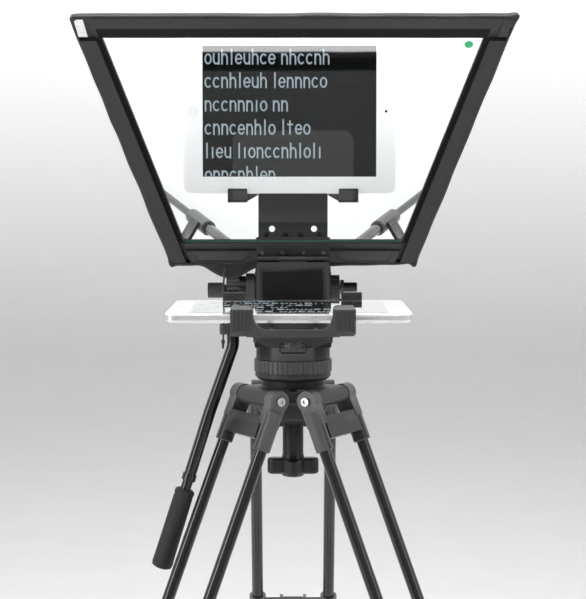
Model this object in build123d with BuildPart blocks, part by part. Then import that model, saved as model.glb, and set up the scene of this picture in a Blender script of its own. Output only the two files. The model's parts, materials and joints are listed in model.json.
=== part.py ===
from build123d import *
import os
from math import sin, cos, tan, pi, radians, hypot

# Teleprompter on a fluid head and a twin-tube tripod. Millimetres, Z up, viewer at -Y.
# The origin is on the floor under the pan axis. Heights above the leg hinges are given through up().

# Tripod
HINGE_Z = 759.0           # leg hinge height above the floor
HINGE_R = 46.0            # leg hinge distance from the pan axis
SPREAD = 22.2             # leg angle from the vertical
LEG_AZIMUTH = (210.0, 330.0, 90.0)
TUBE_X = 45.5             # half the spacing of a leg's twin tubes
UPPER_R, UPPER_BORE = 7.15, 5.3
LOWER_R, LOWER_BORE = 5.25, 4.2
UPPER_END = 360.0         # distances along a leg from its hinge
LOCK_TOP, LOCK_END = 303.0, 381.0
LOWER_TOP, LOWER_END = 300.0, 768.0
SHOE_TOP, SHOE_END = 742.0, 790.0
EAR_IN, EAR_OUT = 34.0, 50.0
SLEEVE_R, PIVOT_T = 10.3, 322.0
BOWL_R, BALL_R, BALL_H = 47.0, 37.5, 10.5

# Fluid head, heights above the leg hinges
BOWL_TOP, NECK_TOP, FLANGE_TOP, RING_TOP, DRUM_TOP = 8.8, 19.3, 28.5, 43.0, 59.2
TILT_H = 123.5            # tilt axis
CHEEK_IN, CHEEK_OUT = 44.5, 54.5
AXLE_R = 10.0

# Bracket
PLATE_T = 5.0
BRACKET_W = 80.0
PLATE_H = 153.5           # underside of the camera plate
PANEL_Y = -120.0          # front face of the drop panel
SHELF_H = 91.0            # underside of the shelf
SHELF_FRONT = -300.0

# Glass frame, drawn on its own plane: x across, u up the slope, n towards the viewer
GLASS_Y, GLASS_H = -120.0, 185.5
OPEN_HALF, OPEN_LEN, OPEN_SLOPE = 120.0, 294.0, 0.2245
BAR_W, TOP_W, BOTTOM_W = 21.5, 27.0, 28.0
GLASS_T = 3.0
HINGE_U, HINGE_N, KNUCKLE_R, PIN_R = -17.7, 9.4, 3.0, 1.2

# Tablet
TAB_W, TAB_D, TAB_T, TAB_R = 241.2, 185.7, 8.8, 10.0
TAB_FRONT, TAB_H, TAB_X = -358.0, 115.7, -4.0

RUN = 0.05                # radial running clearance

os.makedirs("parts", exist_ok=True)


def up(h):
    """Height above the floor of a point h above the leg hinges."""
    return HINGE_Z + h


def inner(u):
    return OPEN_HALF + OPEN_SLOPE * u


def outer(u):
    return inner(u) + BAR_W


def trapezoid(u0, u1, side, grow=0.0):
    """Four corners of a symmetric trapezoid on the frame plane."""
    return [(-side(u0) - grow, u0 - grow), (side(u0) + grow, u0 - grow),
            (side(u1) + grow, u1 + grow), (-side(u1) - grow, u1 + grow)]


def frame_point(u, n):
    """(y, z) of a point on the frame plane."""
    k = cos(radians(45))
    return GLASS_Y - k * u - k * n, up(GLASS_H) + k * u - k * n


FRAME = Plane(origin=(0, GLASS_Y, up(GLASS_H)), x_dir=(1, 0, 0), z_dir=(0, -1, -1))
HINGE_YZ = frame_point(HINGE_U, HINGE_N)

# ---------------------------------------------------------------- crown

with BuildPart() as crown:
    with BuildSketch(Plane.XZ):
        Polygon((0, up(-27)), (34, up(-27)), (40, up(-18)), (BOWL_R, up(-4)), (BOWL_R, up(BOWL_TOP)),
                (0, up(BOWL_TOP)), align=None)
    revolve(axis=Axis.Z)
    for phi in LEG_AZIMUTH:
        a = radians(phi)
        side = Plane(origin=(0, 0, HINGE_Z), x_dir=(cos(a), sin(a), 0), z_dir=(-sin(a), cos(a), 0))
        with BuildSketch(side):
            with Locations((HINGE_R, 0)):
                Circle(11)
            with Locations((35, -1)):
                Rectangle(22, 19.6)
        extrude(amount=EAR_IN - 0.5, both=True)
    with BuildSketch(Plane.XZ):
        with BuildLine():
            l1 = Line((0, up(-23)), (16.85, up(-23)))
            l2 = ThreePointArc(l1 @ 1, (BALL_R * cos(radians(-40)), up(BALL_H + BALL_R * sin(radians(-40)))),
                               (BALL_R, up(BALL_H)))
            l3 = Polyline(l2 @ 1, (BALL_R, up(14)), (0, up(14)), l1 @ 0)
        make_face()
    revolve(axis=Axis.Z, mode=Mode.SUBTRACT)
    with Locations((0, 0, up(-25))):
        Cylinder(11, 10, mode=Mode.SUBTRACT)
    for phi in LEG_AZIMUTH:
        a = radians(phi)
        side = Plane(origin=(0, 0, HINGE_Z), x_dir=(cos(a), sin(a), 0), z_dir=(-sin(a), cos(a), 0))
        with BuildSketch(side):
            with Locations((HINGE_R, 0)):
                Circle(4)
        extrude(amount=EAR_IN, both=True, mode=Mode.SUBTRACT)
crown.part.label = "crown"
export_step(crown.part, "parts/crown.step")

with BuildPart() as hinge_bolts:
    for phi in LEG_AZIMUTH:
        a = radians(phi)
        axle = Plane(origin=(HINGE_R * cos(a), HINGE_R * sin(a), HINGE_Z),
                     x_dir=(cos(a), sin(a), 0), z_dir=(-sin(a), cos(a), 0))
        with BuildSketch(axle):
            Circle(4)
        extrude(amount=EAR_OUT + 1, both=True)
        for s in (-1, 1):
            with BuildSketch(axle.offset(s * (EAR_OUT + 0.4))):
                Circle(5)
                RegularPolygon(2.6, 6, mode=Mode.SUBTRACT)
            extrude(amount=s * 3.2)
            with BuildSketch(axle.offset(s * (EAR_OUT + 0.4))):
                Circle(5)
            extrude(amount=s * 1.4)
hinge_bolts.part.label = "hinge_bolts"
export_step(hinge_bolts.part, "parts/hinge_bolts.step")

with BuildPart() as half_ball:
    with BuildSketch(Plane.XZ):
        with BuildLine():
            r = BALL_R - 0.2
            low = -20.5
            rim = (r * r - (BALL_H - low) ** 2) ** 0.5
            l1 = Line((5, up(low)), (rim, up(low)))
            l2 = ThreePointArc(l1 @ 1, (r * cos(radians(-35)), up(BALL_H + r * sin(radians(-35)))),
                               (r, up(BALL_H)))
            l3 = Polyline(l2 @ 1, (36.3, up(BALL_H + 1.5)), (36.3, up(NECK_TOP)), (0, up(NECK_TOP)),
                          (0, up(-64)), (5, up(-64)), l1 @ 0)
        make_face()
    revolve(axis=Axis.Z)
half_ball.part.label = "half_ball"
export_step(half_ball.part, "parts/half_ball.step")

with BuildPart() as bowl_knob:
    with BuildSketch(Plane.XY.offset(up(-94))):
        Circle(15)
        SlotOverall(60.6, 16)
        SlotOverall(60.6, 16, rotation=90)
    extrude(amount=19)
    fillet(bowl_knob.faces().filter_by(Axis.Z).edges(), 3)
    with BuildSketch(Plane.XZ):
        Polygon((0, up(-97)), (11, up(-97)), (13, up(-95.5)), (13, up(-73)), (12.3, up(-71)),
                (12.3, up(-33.5)), (15, up(-33)), (15, up(-27.4)), (0, up(-27.4)), align=None)
    revolve(axis=Axis.Z)
    with BuildSketch(Plane.XY.offset(up(-68))):
        Circle(5 + RUN)
    extrude(amount=45, mode=Mode.SUBTRACT)
bowl_knob.part.label = "bowl_knob"
export_step(bowl_knob.part, "parts/bowl_knob.step")

# ---------------------------------------------------------------- legs


def leg_planes(phi):
    """Section plane with Z down the leg, side plane across the hinge, and face plane of the twin tubes."""
    a, b = radians(phi), radians(SPREAD)
    hinge = (HINGE_R * cos(a), HINGE_R * sin(a), HINGE_Z)
    along = (sin(b) * cos(a), sin(b) * sin(a), -cos(b))
    across = (-sin(a), cos(a), 0)
    out = (cos(b) * cos(a), cos(b) * sin(a), sin(b))
    return (Plane(origin=hinge, x_dir=across, z_dir=along), Plane(origin=hinge, x_dir=out, z_dir=across),
            Plane(origin=hinge, x_dir=across, z_dir=out))


for number, phi in enumerate(LEG_AZIMUTH, 1):
    section, side, face = leg_planes(phi)

    with BuildPart() as yoke:
        for s in (-1, 1):
            with BuildSketch(side.offset(s * EAR_IN)):
                Circle(12)
                with Locations((0, 15)):
                    Rectangle(20, 30)
            extrude(amount=s * (EAR_OUT - EAR_IN))
        with BuildSketch(section.offset(14)):
            with GridLocations(2 * TUBE_X, 0, 2, 1):
                Circle(SLEEVE_R)
        extrude(amount=46)
        chamfer(yoke.faces().filter_by(lambda f: abs(section.to_local_coords(f.center()).Z - 60) < 0.1).edges(), 1.2)
        with BuildSketch(side):
            with Locations((1.5, 35)):
                Rectangle(16, 26)
        extrude(amount=38, both=True)
        with BuildSketch(side):
            Circle(4 + RUN)
        extrude(amount=EAR_OUT + 1, both=True, mode=Mode.SUBTRACT)
        with BuildSketch(section.offset(20)):
            with GridLocations(2 * TUBE_X, 0, 2, 1):
                Circle(UPPER_R)
        extrude(amount=45, mode=Mode.SUBTRACT)
    yoke.part.label = f"leg_{number}_yoke"
    export_step(yoke.part, f"parts/leg_{number}_yoke.step")

    with BuildPart() as upper_tubes:
        with BuildSketch(section.offset(20)):
            with GridLocations(2 * TUBE_X, 0, 2, 1):
                Circle(UPPER_R)
                Circle(UPPER_BORE, mode=Mode.SUBTRACT)
        extrude(amount=UPPER_END - 20)
    upper_tubes.part.label = f"leg_{number}_upper_tubes"
    export_step(upper_tubes.part, f"parts/leg_{number}_upper_tubes.step")

    with BuildPart() as lock:
        with BuildSketch(section.offset(LOCK_TOP)):
            with GridLocations(2 * TUBE_X, 0, 2, 1):
                Circle(10.5)
        extrude(amount=LOCK_END - LOCK_TOP)
        with BuildSketch(section.offset(PIVOT_T - 6)):
            with Locations((0, 10.75)):
                Rectangle(2 * TUBE_X, 4.5)
        extrude(amount=34)
        for s in (-1, 1):
            with BuildSketch(side.offset(s * 13)):
                with Locations((16.5, PIVOT_T)):
                    Rectangle(9, 10)
            extrude(amount=s * 4)
        with BuildSketch(side):
            with Locations((18, PIVOT_T)):
                Circle(1.5 + RUN)
        extrude(amount=18, both=True, mode=Mode.SUBTRACT)
        with BuildSketch(section.offset(LOCK_TOP)):
            with GridLocations(2 * TUBE_X, 0, 2, 1):
                Circle(UPPER_R)
        extrude(amount=UPPER_END - LOCK_TOP, mode=Mode.SUBTRACT)
        with BuildSketch(section.offset(LOCK_TOP)):
            with GridLocations(2 * TUBE_X, 0, 2, 1):
                Circle(LOWER_R + RUN)
        extrude(amount=LOCK_END - LOCK_TOP, mode=Mode.SUBTRACT)
    lock.part.label = f"leg_{number}_lock"
    export_step(lock.part, f"parts/leg_{number}_lock.step")

    with BuildPart() as lever:
        with BuildSketch(side):
            with Locations((18, PIVOT_T)):
                Circle(3)
            Polygon((15.6, PIVOT_T), (21, PIVOT_T), (22.5, PIVOT_T + 26), (20.5, PIVOT_T + 34), (18, PIVOT_T + 34),
                    (17, PIVOT_T + 24), align=None)
        extrude(amount=12.6, both=True)
        with BuildSketch(side):
            with Locations((18, PIVOT_T)):
                Circle(1.5)
        extrude(amount=17, both=True)
    lever.part.label = f"leg_{number}_lever"
    export_step(lever.part, f"parts/leg_{number}_lever.step")

    with BuildPart() as lower_tubes:
        with BuildSketch(section.offset(LOWER_TOP)):
            with GridLocations(2 * TUBE_X, 0, 2, 1):
                Circle(LOWER_R)
                Circle(LOWER_BORE, mode=Mode.SUBTRACT)
        extrude(amount=LOWER_END - LOWER_TOP)
    lower_tubes.part.label = f"leg_{number}_lower_tubes"
    export_step(lower_tubes.part, f"parts/leg_{number}_lower_tubes.step")

    with BuildPart() as shoe:
        with BuildSketch(face):
            Polygon((-54, -SHOE_TOP), (-54, -764), (-15, -SHOE_END), (15, -SHOE_END), (54, -764),
                    (54, -SHOE_TOP), (36, -SHOE_TOP), (24, -752), (-24, -752), (-36, -SHOE_TOP), align=None)
        extrude(amount=9, both=True)
        fillet(shoe.edges().filter_by(Axis((0, 0, 0), face.z_dir)), 2)
        with BuildSketch(section.offset(SHOE_TOP)):
            with GridLocations(2 * TUBE_X, 0, 2, 1):
                Circle(LOWER_R)
        extrude(amount=LOWER_END - SHOE_TOP, mode=Mode.SUBTRACT)
        with BuildSketch(section.offset(SHOE_END)):
            Circle(6)
        extrude(amount=14)
    shoe.part.label = f"leg_{number}_shoe"
    export_step(shoe.part, f"parts/leg_{number}_shoe.step")

    with BuildPart() as foot:
        with BuildSketch(section.offset(SHOE_END)):
            Circle(13)
        extrude(amount=60)
        with BuildSketch(section.offset(SHOE_END)):
            Circle(6)
        extrude(amount=14, mode=Mode.SUBTRACT)
        with Locations((0, 0, -50)):
            Box(1200, 1200, 100, mode=Mode.SUBTRACT)
    foot.part.label = f"leg_{number}_foot"
    export_step(foot.part, f"parts/leg_{number}_foot.step")

# ---------------------------------------------------------------- fluid head

with BuildPart() as pan_base:
    with BuildSketch(Plane.XZ):
        Polygon((0, up(NECK_TOP)), (41, up(NECK_TOP)), (44.5, up(23)), (44.5, up(FLANGE_TOP)),
                (33, up(FLANGE_TOP)), (33, up(RING_TOP)), (12, up(RING_TOP)), (12, up(54)), (0, up(54)), align=None)
    revolve(axis=Axis.Z)
pan_base.part.label = "pan_base"
export_step(pan_base.part, "parts/pan_base.step")

with BuildPart() as pan_ring:
    with BuildSketch(Plane.XY.offset(up(FLANGE_TOP + 0.3))):
        Circle(45.75)
        with PolarLocations(46.2, 48):
            Circle(1.3, mode=Mode.SUBTRACT)
        Circle(33 + RUN, mode=Mode.SUBTRACT)
    extrude(amount=RING_TOP - FLANGE_TOP - 0.3)
pan_ring.part.label = "pan_ring"
export_step(pan_ring.part, "parts/pan_ring.step")

with BuildPart() as pan_yoke:
    with BuildSketch(Plane.XY.offset(up(RING_TOP + 0.4))):
        Circle(43.4)
    extrude(amount=DRUM_TOP - RING_TOP - 0.4)
    with BuildSketch(Plane.XZ):
        Polygon((-44, up(DRUM_TOP)), (44, up(DRUM_TOP)), (46.5, up(74)), (-46.5, up(74)), align=None)
    extrude(amount=36, both=True)
    for s, knob_y, knob_h in ((-1, -28, 136), (1, -20, 128.5)):
        with BuildSketch(Plane.YZ.offset(s * CHEEK_IN)):
            Polygon((-36, up(70)), (36, up(70)), (30, up(108)), (17, up(TILT_H)), (-17, up(TILT_H)),
                    (-30, up(108)), align=None)
            with Locations((0, up(TILT_H))):
                Circle(18)
            with Locations((knob_y, up(knob_h))):
                Circle(9)
            Polygon((-30, up(108)), (knob_y - 9, up(knob_h)), (knob_y, up(knob_h + 9)), (0, up(TILT_H + 10)),
                    (0, up(108)), align=None)
        extrude(amount=s * (CHEEK_OUT - CHEEK_IN))
        with BuildSketch(Plane.XZ):
            Polygon((s * 46.5, up(69)), (s * 56, up(69)), (s * 56, up(92)), (s * CHEEK_OUT, up(92)),
                    (s * 46.5, up(74)), align=None)
        extrude(amount=60, both=True, mode=Mode.SUBTRACT)
        with BuildSketch(Plane.YZ.offset(s * (CHEEK_IN - 1))):
            with Locations((0, up(TILT_H))):
                Circle(AXLE_R + RUN)
        extrude(amount=s * 14, mode=Mode.SUBTRACT)
        with BuildSketch(Plane.YZ.offset(s * (CHEEK_IN + 1))):
            with Locations((knob_y, up(knob_h))):
                Circle(3 + RUN)
        extrude(amount=s * 12, mode=Mode.SUBTRACT)
    with BuildSketch(Plane.XY.offset(up(RING_TOP))):
        Circle(12 + RUN)
    extrude(amount=12, mode=Mode.SUBTRACT)
pan_yoke.part.label = "pan_yoke"
export_step(pan_yoke.part, "parts/pan_yoke.step")

with BuildPart() as tilt_body:
    with BuildSketch(Plane.YZ):
        with Locations((0, up(TILT_H))):
            Circle(28)
        with Locations((0, up(TILT_H + 11.5))):
            Rectangle(68, 23)
    extrude(amount=CHEEK_IN - 0.5, both=True)
    with BuildSketch(Plane.XY.offset(up(TILT_H + 23))):
        RectangleRounded(84, 76, 5)
    extrude(amount=PLATE_H - TILT_H - 23)
    with BuildSketch(Plane.YZ.offset(-62.7)):
        with Locations((0, up(TILT_H))):
            Circle(AXLE_R)
    extrude(amount=62.7 + CHEEK_OUT - 0.3)
    with BuildSketch(Plane.YZ.offset(-62.7)):
        with Locations((0, up(TILT_H))):
            Circle(16)
    extrude(amount=7.7)
    with BuildSketch(Plane.YZ.offset(-63)):
        with Locations((0, up(TILT_H))):
            Circle(4 + RUN)
    extrude(amount=25, mode=Mode.SUBTRACT)
tilt_body.part.label = "tilt_body"
export_step(tilt_body.part, "parts/tilt_body.step")

with BuildPart() as tilt_knob:
    hub = Plane(origin=(-CHEEK_OUT - 0.6, -28, up(136)), x_dir=(0, 1, 0), z_dir=(-1, 0, 0))
    with BuildSketch(hub):
        Circle(6)
    extrude(amount=7)
    with BuildSketch(hub.offset(7)):
        Circle(7)
        with PolarLocations(6.5, 3, start_angle=90):
            Circle(4)
    extrude(amount=15)
    fillet(tilt_knob.faces().sort_by(Axis.X)[0].outer_wire().edges(), 1.5)
    with BuildSketch(hub.offset(-9)):
        Circle(3)
    extrude(amount=9)
tilt_knob.part.label = "tilt_knob"
export_step(tilt_knob.part, "parts/tilt_knob.step")

with BuildPart() as drag_knob:
    hub = Plane(origin=(CHEEK_OUT + 0.6, -20, up(128.5)), x_dir=(0, 1, 0), z_dir=(1, 0, 0))
    with BuildSketch(hub):
        Circle(8.5)
    extrude(amount=4)
    with BuildSketch(hub.offset(4)):
        Circle(5.5)
    extrude(amount=15.5)
    chamfer(drag_knob.faces().sort_by(Axis.X)[-1].outer_wire().edges(), 1)
    with BuildSketch(hub.offset(-9)):
        Circle(3)
    extrude(amount=9)
drag_knob.part.label = "drag_knob"
export_step(drag_knob.part, "parts/drag_knob.step")

# Pan handle: an arm from the rosette, a telescoping tube and a grip
ARM_X = -70.6
KNEE, ELBOW = (-99.0, up(-22)), (ARM_X, up(58))
TIP = (-157.0, up(-207))
RAKE = ((TIP[0] - KNEE[0]) / hypot(TIP[0] - KNEE[0], TIP[1] - KNEE[1]),
        (TIP[1] - KNEE[1]) / hypot(TIP[0] - KNEE[0], TIP[1] - KNEE[1]))


def on_rake(d):
    """Point a distance d down the raked run of the handle from the knee."""
    return KNEE[0] + RAKE[0] * d, KNEE[1] + RAKE[1] * d


def rake_plane(d):
    x, z = on_rake(d)
    return Plane(origin=(x, 0, z), x_dir=(0, 1, 0), z_dir=(RAKE[0], 0, RAKE[1]))


with BuildPart() as handle_arm:
    with BuildLine(Plane.XZ):
        FilletPolyline((ARM_X, up(TILT_H)), ELBOW, KNEE, on_rake(84), radius=30)
    with BuildSketch(Plane(origin=(ARM_X, 0, up(TILT_H)), x_dir=(1, 0, 0), z_dir=(0, 0, -1))):
        Circle(7.25)
    sweep()
    with BuildSketch(Plane.YZ.offset(-78)):
        with Locations((0, up(TILT_H))):
            Circle(14)
    extrude(amount=15)
    with BuildSketch(Plane.YZ.offset(-79)):
        with Locations((0, up(TILT_H))):
            Circle(4 + RUN)
    extrude(amount=17, mode=Mode.SUBTRACT)
    with BuildSketch(rake_plane(76)):
        Circle(8.6)
    extrude(amount=8)
    with BuildSketch(rake_plane(20)):
        Circle(6.3 + RUN)
    extrude(amount=70, mode=Mode.SUBTRACT)
handle_arm.part.label = "handle_arm"
export_step(handle_arm.part, "parts/handle_arm.step")

with BuildPart() as handle_knob:
    with BuildSketch(Plane.YZ.offset(-100)):
        with Locations((0, up(TILT_H))):
            Circle(9)
            with PolarLocations(9.3, 18):
                Circle(0.8, mode=Mode.SUBTRACT)
    extrude(amount=18)
    with BuildSketch(Plane.YZ.offset(-82)):
        with Locations((0, up(TILT_H))):
            Circle(7)
    extrude(amount=3.6)
    with BuildSketch(Plane.YZ.offset(-80)):
        with Locations((0, up(TILT_H))):
            Circle(4)
    extrude(amount=38)
handle_knob.part.label = "handle_knob"
export_step(handle_knob.part, "parts/handle_knob.step")

with BuildPart() as handle_tube:
    with BuildSketch(rake_plane(28)):
        Circle(6.3)
        Circle(4.8, mode=Mode.SUBTRACT)
    extrude(amount=80)
handle_tube.part.label = "handle_tube"
export_step(handle_tube.part, "parts/handle_tube.step")

with BuildPart() as handle_grip:
    with BuildSketch(rake_plane(95)):
        Circle(12)
    extrude(amount=99, taper=-0.4)
    fillet(handle_grip.edges().filter_by(GeomType.CIRCLE), 3)
    with BuildSketch(rake_plane(95)):
        Circle(6.3)
    extrude(amount=13, mode=Mode.SUBTRACT)
handle_grip.part.label = "handle_grip"
export_step(handle_grip.part, "parts/handle_grip.step")

# ---------------------------------------------------------------- bracket

SLOT_Y = (62.0, 112.0)
SHELF_HOLES = [(-24.3, -131), (24.3, -131)]
SCREW_Y = -290.0

with BuildPart() as camera_plate:
    with BuildSketch(Plane.XY.offset(up(PLATE_H))):
        with Locations((0, (PANEL_Y + PLATE_T + 130) / 2)):
            RectangleRounded(BRACKET_W, 130 - PANEL_Y - PLATE_T, 3)
        with Locations((0, sum(SLOT_Y) / 2)):
            SlotOverall(SLOT_Y[1] - SLOT_Y[0] + 6.6, 6.6, rotation=90, mode=Mode.SUBTRACT)
    extrude(amount=PLATE_T)
camera_plate.part.label = "camera_plate"
export_step(camera_plate.part, "parts/camera_plate.step")

with BuildPart() as drop_panel:
    with BuildSketch(Plane.XZ.offset(-PANEL_Y)):
        with Locations((0, up((SHELF_H + PLATE_T + 162.5) / 2))):
            Rectangle(BRACKET_W, 162.5 - SHELF_H - PLATE_T)
    extrude(amount=-PLATE_T)
    for s in (-1, 1):
        with BuildSketch(Plane.YZ.offset(s * BRACKET_W / 2)):
            Polygon((PANEL_Y + PLATE_T, up(SHELF_H + PLATE_T)), (-88, up(SHELF_H + PLATE_T)),
                    (-100, up(120)), (-100, up(PLATE_H)), (PANEL_Y + PLATE_T, up(PLATE_H)), align=None)
        extrude(amount=-s * 3.5)
    with BuildSketch(Plane.XZ.offset(-PANEL_Y)):
        with Locations((0, up(126))):
            RectangleRounded(66, 52, 2)
    extrude(amount=-0.8, mode=Mode.SUBTRACT)
drop_panel.part.label = "drop_panel"
export_step(drop_panel.part, "parts/drop_panel.step")

with BuildPart() as shelf:
    with BuildSketch(Plane.XY.offset(up(SHELF_H))):
        with Locations((0, (SHELF_FRONT - 88) / 2)):
            RectangleRounded(BRACKET_W, -88 - SHELF_FRONT, 3)
        with Locations(*SHELF_HOLES):
            Circle(3.5, mode=Mode.SUBTRACT)
        with Locations((0, SCREW_Y)):
            Circle(3.15, mode=Mode.SUBTRACT)
    extrude(amount=PLATE_T)
    with BuildSketch(Plane.XY.offset(up(SHELF_H + PLATE_T))):
        for y in (-156, -136):
            with Locations((0, y)):
                Rectangle(BRACKET_W, 2)
    extrude(amount=1)
shelf.part.label = "shelf"
export_step(shelf.part, "parts/shelf.step")

with BuildPart() as bracket_screws:
    with BuildSketch(Plane.XY.offset(up(SHELF_H + PLATE_T))):
        with Locations((-31, -125), (31, -125), (-9, -125), (9, -125)):
            Circle(3.2)
    extrude(amount=2.2)
    with BuildSketch(Plane.XY.offset(up(PLATE_H + PLATE_T))):
        with Locations((-28, -24), (28, -24), (-28, 24), (28, 24)):
            Circle(4)
    extrude(amount=2.4)
    fillet(bracket_screws.faces().filter_by(lambda f: f.normal_at().Z > 0.9).edges(), 0.8)
bracket_screws.part.label = "bracket_screws"
export_step(bracket_screws.part, "parts/bracket_screws.step")

with BuildPart() as camera_screw:
    y = sum(SLOT_Y) / 2
    with BuildSketch(Plane.XY.offset(up(PLATE_H - 14))):
        with Locations((0, y)):
            Circle(12)
            with PolarLocations(12.4, 16):
                Circle(1.2, mode=Mode.SUBTRACT)
    extrude(amount=11)
    with BuildSketch(Plane.XY.offset(up(PLATE_H - 3.2))):
        with Locations((0, y)):
            Circle(8)
    extrude(amount=2.9)
    with BuildSketch(Plane.XY.offset(up(PLATE_H - 3.2))):
        with Locations((0, y)):
            Circle(2.8)
    extrude(amount=3.2 + PLATE_T)
    with BuildSketch(Plane.XY.offset(up(PLATE_H + PLATE_T))):
        with Locations((0, y)):
            Circle(3.15)
    extrude(amount=6)
camera_screw.part.label = "camera_screw"
export_step(camera_screw.part, "parts/camera_screw.step")

# ---------------------------------------------------------------- tablet holder and tablet

FORK_Y = -371.0
ROD_X, ROD_H, ROD_R = 22.0, 106.5, 2.5

with BuildPart() as clamp_body:
    with BuildSketch(Plane.XY.offset(up(SHELF_H + PLATE_T))):
        with Locations((0, -270)):
            RectangleRounded(72, 100, 5)
    extrude(amount=TAB_H - SHELF_H - PLATE_T)
    with BuildSketch(Plane.XZ.offset(330)):
        with Locations((-ROD_X, up(ROD_H)), (ROD_X, up(ROD_H))):
            Circle(ROD_R + RUN)
    extrude(amount=-130, mode=Mode.SUBTRACT)
    with BuildSketch(Plane.XY.offset(up(SHELF_H + PLATE_T))):
        with Locations((0, SCREW_Y)):
            Circle(3.15)
    extrude(amount=11, mode=Mode.SUBTRACT)
clamp_body.part.label = "clamp_body"
export_step(clamp_body.part, "parts/clamp_body.step")

with BuildPart() as slide_rods:
    with BuildSketch(Plane.XZ.offset(-FORK_Y - 3)):
        with Locations((-ROD_X, up(ROD_H)), (ROD_X, up(ROD_H))):
            Circle(ROD_R)
    extrude(amount=-151)
slide_rods.part.label = "slide_rods"
export_step(slide_rods.part, "parts/slide_rods.step")

JAW_X, JAW_W = 49.5, 22.0
with BuildPart() as front_fork:
    for s in (-1, 1):
        with BuildSketch(Plane.YZ.offset(s * JAW_X)):
            Polygon((FORK_Y, up(108)), (FORK_Y + 3, up(104.5)), (-359, up(103)), (-352, up(110)),
                    (-352, up(115.3)), (-358.4, up(115.3)), (-358.4, up(124.9)), (-353.5, up(124.9)),
                    (-353.5, up(130)), (-358, up(133.5)), (FORK_Y + 3, up(133.5)), (FORK_Y, up(130)), align=None)
        extrude(amount=JAW_W / 2, both=True)
    with BuildSketch(Plane.XZ.offset(-FORK_Y - 25)):
        with Locations((-JAW_X, up(118.3)), (JAW_X, up(118.3))):
            RectangleRounded(JAW_W, 30.6, 5)
    extrude(amount=30, mode=Mode.INTERSECT)
    with BuildSketch(Plane.XZ.offset(-FORK_Y)):
        with BuildLine():
            l1 = Line((-JAW_X + JAW_W / 2 - 1, up(124)), (-JAW_X + JAW_W / 2 + 1.5, up(119)))
            l2 = TangentArc(l1 @ 1, (-JAW_X + JAW_W / 2 + 12.5, up(110)), tangent=(0.3, -1))
            l3 = Line(l2 @ 1, (JAW_X - JAW_W / 2 - 12.5, up(110)))
            l4 = TangentArc(l3 @ 1, (JAW_X - JAW_W / 2 - 1.5, up(119)), tangent=(1, 0))
            l5 = Polyline(l4 @ 1, (JAW_X - JAW_W / 2 + 1, up(124)), (JAW_X, up(124)), (JAW_X, up(108)),
                          (JAW_X - 5, up(103.5)), (-JAW_X + 5, up(103.5)), (-JAW_X, up(108)), (-JAW_X, up(124)),
                          l1 @ 0)
        make_face()
    extrude(amount=-10)
    with BuildSketch(Plane.XZ.offset(-FORK_Y - 3)):
        with Locations((-ROD_X, up(ROD_H)), (ROD_X, up(ROD_H))):
            Circle(ROD_R)
    extrude(amount=-10, mode=Mode.SUBTRACT)
front_fork.part.label = "front_fork"
export_step(front_fork.part, "parts/front_fork.step")

BACK_X = 63.0
TAB_BACK = TAB_FRONT + TAB_D
with BuildPart() as rear_fork:
    with BuildSketch(Plane.XY.offset(up(109.5))):
        with Locations((0, -208)):
            Rectangle(2 * BACK_X + JAW_W, 24)
    extrude(amount=5.8)
    for s in (-1, 1):
        with BuildSketch(Plane.YZ.offset(s * BACK_X)):
            Polygon((-220, up(109.5)), (-170, up(104)), (-162, up(108)), (-162, up(130)), (-165, up(132.8)),
                    (TAB_BACK - 2, up(132.8)), (TAB_BACK - 5, up(129)), (TAB_BACK - 5, up(124.9)),
                    (TAB_BACK + 0.3, up(124.9)), (TAB_BACK + 0.3, up(115.3)), (-220, up(115.3)), align=None)
        extrude(amount=JAW_W / 2, both=True)
rear_fork.part.label = "rear_fork"
export_step(rear_fork.part, "parts/rear_fork.step")

with BuildPart() as holder_screw:
    with BuildSketch(Plane.XY.offset(up(SHELF_H - 5.5))):
        with Locations((0, SCREW_Y)):
            Circle(9)
    extrude(amount=5.5)
    with BuildSketch(Plane.XY.offset(up(SHELF_H))):
        with Locations((0, SCREW_Y)):
            Circle(3.15)
    extrude(amount=PLATE_T + 10)
    with BuildSketch(Plane.YZ):
        with Locations((SCREW_Y, up(SHELF_H - 2.6))):
            Circle(1.2 + RUN)
    extrude(amount=12, both=True, mode=Mode.SUBTRACT)
holder_screw.part.label = "holder_screw"
export_step(holder_screw.part, "parts/holder_screw.step")

with BuildPart() as holder_bail:
    top = up(SHELF_H - 2.6)
    with BuildLine(Plane.XZ.offset(-SCREW_Y)):
        FilletPolyline((-6, top), (-13.2, top), (-13.2, top - 9.2), (13.2, top - 9.2), (13.2, top), (6, top),
                       radius=2.6)
    with BuildSketch(Plane(origin=(-6, SCREW_Y, top), x_dir=(0, 1, 0), z_dir=(-1, 0, 0))):
        Circle(1.2)
    sweep()
holder_bail.part.label = "holder_bail"
export_step(holder_bail.part, "parts/holder_bail.step")

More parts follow.
